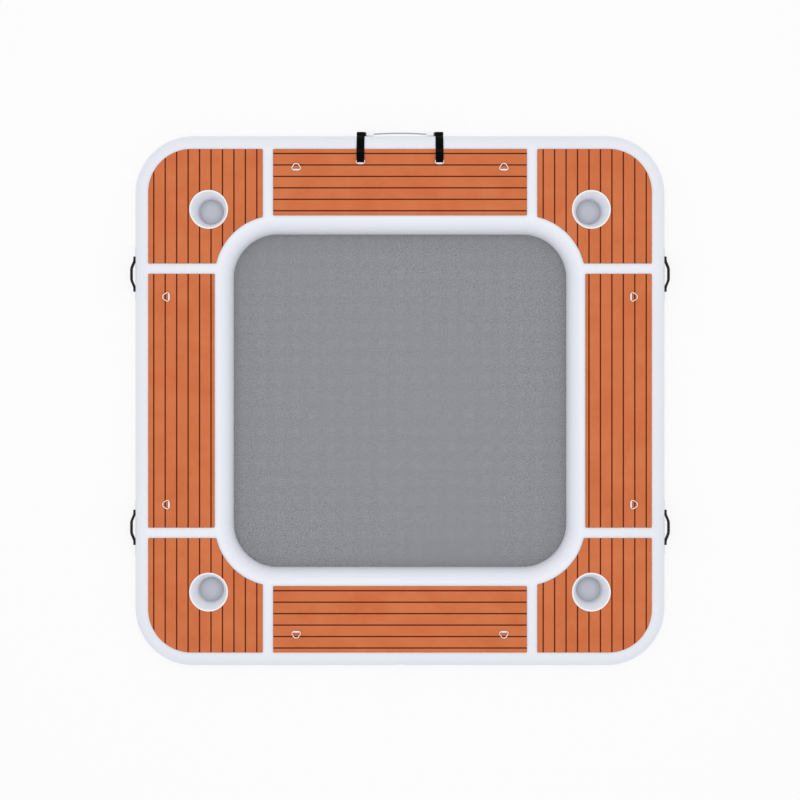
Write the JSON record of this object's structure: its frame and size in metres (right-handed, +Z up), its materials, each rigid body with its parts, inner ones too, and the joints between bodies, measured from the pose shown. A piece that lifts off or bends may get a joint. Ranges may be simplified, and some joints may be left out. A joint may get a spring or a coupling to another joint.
{
  "type": "inflatable floating dock",
  "caption": "Square inflatable floating dock with a mesh floored pool, grooved foam deck pads, corner cup holders, lashing rings, side handles and a boarding bar.",
  "frame": {"origin": "on the ground under the middle of the square hull", "axes": "+Z up, +Y towards the side with the boarding bar, which is the picture's upper side, +X to its right"},
  "size_m": [2.4888, 2.4613, 0.1649],
  "materials": {
    "pvc_white": "soft white PVC skin with a fine fabric grain, satin",
    "eva_foam": "teak coloured EVA foam decking, matt, brushed grain",
    "cup_plastic": "moulded white plastic, satin",
    "mesh_grey": "grey PVC coated polyester mesh",
    "pvc_grey": "grey PVC strip, satin",
    "ring_steel": "polished stainless steel wire",
    "handle_rubber": "moulded black rubber, matt",
    "webbing_black": "black polyester webbing",
    "rubber_black": "black rubber",
    "sleeve_plastic": "moulded white plastic",
    "bar_plastic": "grey vinyl coated steel rod",
    "valve_plastic": "moulded grey plastic",
    "plunger_plastic": "moulded white plastic",
    "spring_steel": "stainless spring wire"
  },
  "bodies": {
    "dock": {"bar_bush_east": "rubber_black", "bar_bush_west": "rubber_black", "bar_sleeve_east": "sleeve_plastic", "bar_sleeve_west": "sleeve_plastic", "bar_strap_east": "webbing_black", "bar_strap_west": "webbing_black", "boarding_bar": "bar_plastic", "cup_holder_north_east": "cup_plastic", "cup_holder_north_west": "cup_plastic", "cup_holder_south_east": "cup_plastic", "cup_holder_south_west": "cup_plastic", "deck_pad_east": "eva_foam", "deck_pad_north": "eva_foam", "deck_pad_north_east": "eva_foam", "deck_pad_north_west": "eva_foam", "deck_pad_south": "eva_foam", "deck_pad_south_east": "eva_foam", "deck_pad_south_west": "eva_foam", "deck_pad_west": "eva_foam", "handle_patch_east_1a": "pvc_white", "handle_patch_east_1b": "pvc_white", "handle_patch_east_2a": "pvc_white", "handle_patch_east_2b": "pvc_white", "handle_patch_west_1a": "pvc_white", "handle_patch_west_1b": "pvc_white", "handle_patch_west_2a": "pvc_white", "handle_patch_west_2b": "pvc_white", "hull": "pvc_white", "mesh_border": "pvc_grey", "mesh_floor": "mesh_grey", "ring_tab_east_1": "pvc_white", "ring_tab_east_2": "pvc_white", "ring_tab_north_1": "pvc_white", "ring_tab_north_2": "pvc_white", "ring_tab_south_1": "pvc_white", "ring_tab_south_2": "pvc_white", "ring_tab_west_1": "pvc_white", "ring_tab_west_2": "pvc_white", "side_handle_east_1": "handle_rubber", "side_handle_east_2": "handle_rubber", "side_handle_west_1": "handle_rubber", "side_handle_west_2": "handle_rubber", "strap_ring_east": "ring_steel", "strap_ring_west": "ring_steel", "strap_tab_east": "pvc_white", "strap_tab_west": "pvc_white", "valve_body": "valve_plastic", "valve_spring": "spring_steel"},
    "deck_ring_east_1": {"deck_ring_east_1": "ring_steel"},
    "deck_ring_east_2": {"deck_ring_east_2": "ring_steel"},
    "deck_ring_north_1": {"deck_ring_north_1": "ring_steel"},
    "deck_ring_north_2": {"deck_ring_north_2": "ring_steel"},
    "deck_ring_south_1": {"deck_ring_south_1": "ring_steel"},
    "deck_ring_south_2": {"deck_ring_south_2": "ring_steel"},
    "deck_ring_west_1": {"deck_ring_west_1": "ring_steel"},
    "deck_ring_west_2": {"deck_ring_west_2": "ring_steel"},
    "valve_cap_body": {"valve_cap": "valve_plastic", "valve_seal": "rubber_black"},
    "valve_plunger_body": {"valve_plunger": "plunger_plastic"}
  },
  "joints": [
    {"name": "deck_ring_east_1_swing", "type": "hinge", "parent": "dock", "child": "deck_ring_east_1", "pos_m": [1.0545, -0.474, 0.1588], "axis": [0, -1, 0], "range_deg": [0, 180]},
    {"name": "deck_ring_east_2_swing", "type": "hinge", "parent": "dock", "child": "deck_ring_east_2", "pos_m": [1.0545, 0.474, 0.1588], "axis": [0, -1, 0], "range_deg": [0, 180]},
    {"name": "deck_ring_north_1_swing", "type": "hinge", "parent": "dock", "child": "deck_ring_north_1", "pos_m": [0.474, 1.0545, 0.1588], "axis": [1, 0, 0], "range_deg": [0, 180]},
    {"name": "deck_ring_north_2_swing", "type": "hinge", "parent": "dock", "child": "deck_ring_north_2", "pos_m": [-0.474, 1.0545, 0.1588], "axis": [1, 0, 0], "range_deg": [0, 180]},
    {"name": "deck_ring_south_1_swing", "type": "hinge", "parent": "dock", "child": "deck_ring_south_1", "pos_m": [-0.474, -1.0545, 0.1588], "axis": [-1, 0, 0], "range_deg": [0, 180]},
    {"name": "deck_ring_south_2_swing", "type": "hinge", "parent": "dock", "child": "deck_ring_south_2", "pos_m": [0.474, -1.0545, 0.1588], "axis": [-1, 0, 0], "range_deg": [0, 180]},
    {"name": "deck_ring_west_1_swing", "type": "hinge", "parent": "dock", "child": "deck_ring_west_1", "pos_m": [-1.0545, 0.474, 0.1588], "axis": [0, 1, 0], "range_deg": [0, 180]},
    {"name": "deck_ring_west_2_swing", "type": "hinge", "parent": "dock", "child": "deck_ring_west_2", "pos_m": [-1.0545, -0.474, 0.1588], "axis": [0, 1, 0], "range_deg": [0, 180]},
    {"name": "valve_cap_turn", "type": "hinge", "parent": "dock", "child": "valve_cap_body", "pos_m": [0, -1.2105, 0.075], "axis": [0, -1, 0], "range_deg": [0, 90]},
    {"name": "valve_plunger_push", "type": "slide", "parent": "dock", "child": "valve_plunger_body", "axis": [0, 1, 0], "range_m": [0, 0.006], "stiffness_N_per_m": 400, "springref_m": -0.004, "deforming": ["valve_spring"]}
  ]
}
